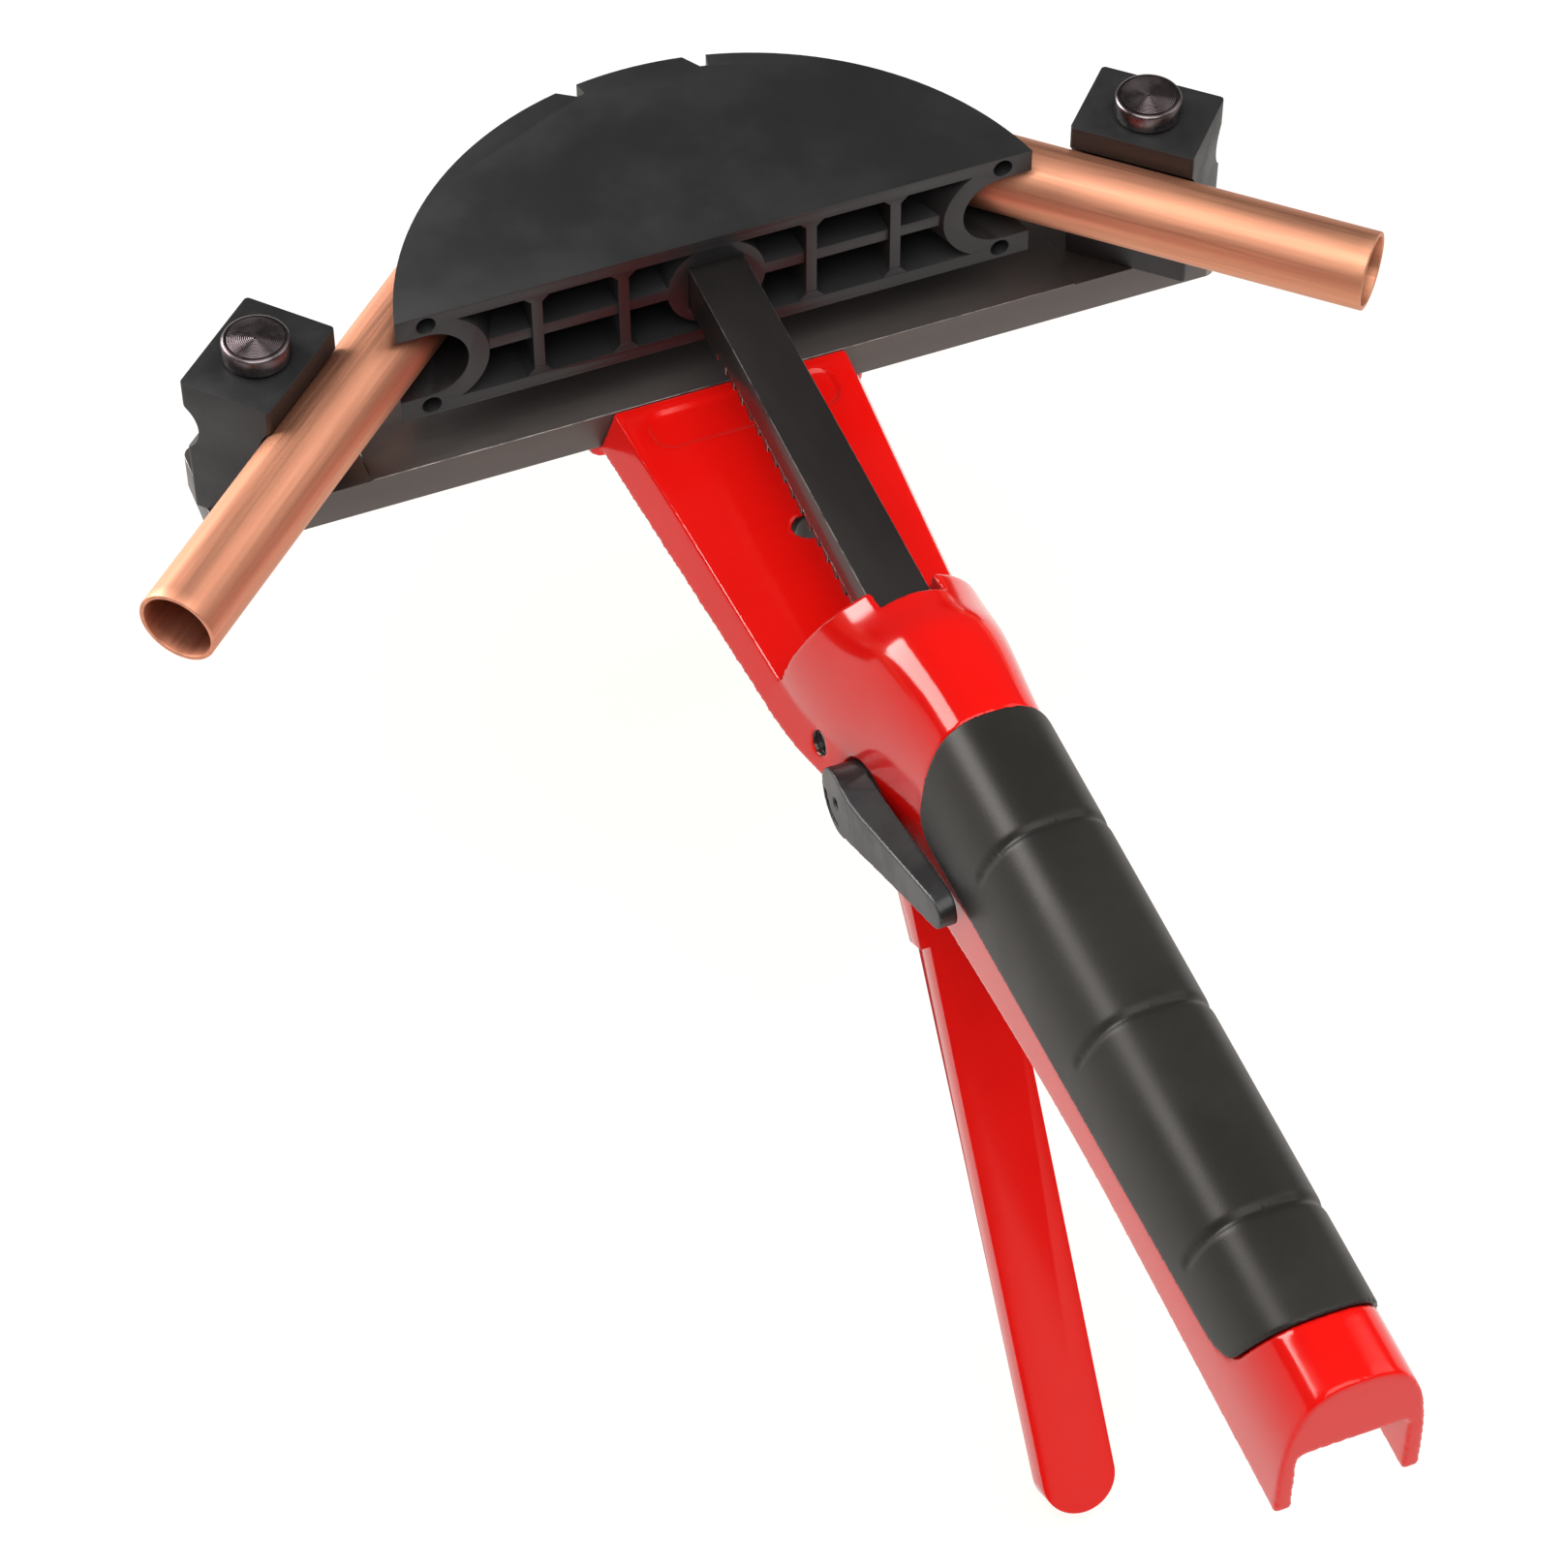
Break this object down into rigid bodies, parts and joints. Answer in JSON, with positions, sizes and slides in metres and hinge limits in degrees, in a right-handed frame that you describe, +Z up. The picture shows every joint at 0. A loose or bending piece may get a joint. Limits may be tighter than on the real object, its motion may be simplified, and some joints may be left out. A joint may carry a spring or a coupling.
{
  "type": "pipe bending machine",
  "caption": "Hand-held ratchet tube bender: a red cast handle and squeeze lever drive a rack and half-disc former between two swivelling counter-forms on a cross beam.",
  "frame": {"origin": "middle of the cross beam's top face", "axes": "+X along the beam, to the right as seen from the handle; +Y from the handle to the former; +Z up, away from the lever"},
  "size_m": [0.2883, 0.3837, 0.2006],
  "materials": {
    "red_paint": "gloss red enamel on a light-alloy casting",
    "grip_rubber": "satin",
    "black_steel": "black oxide, worn bright on the edges",
    "bright_steel": "turned",
    "spring_steel": "drawn wire",
    "pawl_steel": "hardened, oiled",
    "black_plastic": "satin black",
    "copper": "drawn, lightly tarnished"
  },
  "bodies": {
    "frame": {"body_casting": "red_paint", "hand_grip": "grip_rubber", "cross_beam": "black_steel", "beam_screws": "black_steel", "left_pin": "bright_steel", "right_pin": "bright_steel", "pin_clips": "spring_steel", "rack_guide": "bright_steel", "lever_pivot_pin": "bright_steel", "lever_spring": "spring_steel", "holding_pawl_pin": "bright_steel", "holding_pawl_spring": "spring_steel"},
    "left_form": {"left_counter_form": "black_plastic"},
    "right_form": {"right_counter_form": "black_plastic"},
    "ram": {"rack_bar": "black_steel", "bending_former": "black_plastic", "former_pin": "bright_steel", "rack_stop_pin": "bright_steel", "copper_tube": "copper"},
    "squeeze_lever": {"drive_lever": "red_paint", "drive_pawl_pin": "bright_steel", "drive_pawl_spring": "spring_steel"},
    "pawl": {"drive_pawl": "pawl_steel"},
    "release": {"release_lever": "black_plastic", "release_shaft": "bright_steel", "release_roll_pin": "spring_steel"},
    "hold": {"holding_pawl": "pawl_steel"}
  },
  "joints": [
    {"name": "ram_slide", "type": "slide", "parent": "frame", "child": "ram", "axis": [0, 1, 0], "range_m": [-0.065, 0]},
    {"name": "left_form_swing", "type": "hinge", "parent": "frame", "child": "left_form", "pos_m": [-0.104, -0.003, 0], "axis": [0, 0, 1], "range_deg": [-43, 0]},
    {"name": "right_form_swing", "type": "hinge", "parent": "frame", "child": "right_form", "pos_m": [0.104, -0.003, 0], "axis": [0, 0, 1], "range_deg": [0, 43]},
    {"name": "lever_squeeze", "type": "hinge", "parent": "frame", "child": "squeeze_lever", "pos_m": [0, -0.119, 0], "axis": [-1, 0, 0], "range_deg": [0, 53], "stiffness_Nm_per_rad": 0.6, "springref_deg": -17.19},
    {"name": "drive_pawl_swing", "type": "hinge", "parent": "squeeze_lever", "child": "pawl", "pos_m": [0, -0.12479, 0.00689], "axis": [1, 0, 0], "range_deg": [0, 8], "stiffness_Nm_per_rad": 0.02, "springref_deg": -28.65},
    {"name": "release_turn", "type": "hinge", "parent": "frame", "child": "release", "pos_m": [-0.02, -0.136, 0.0005], "axis": [1, 0, 0], "range_deg": [-15, 0]},
    {"name": "holding_pawl_swing", "type": "hinge", "parent": "frame", "child": "hold", "pos_m": [0, -0.152, 0.01], "axis": [1, 0, 0], "range_deg": [0, 6]}
  ],
  "couplings": [
    {"joint": "left_form_swing", "follows": "ram_slide", "rad_per_m": 11.546},
    {"joint": "right_form_swing", "follows": "ram_slide", "rad_per_m": -11.546},
    {"joint": "holding_pawl_swing", "follows": "release_turn", "ratio": -0.4}
  ]
}
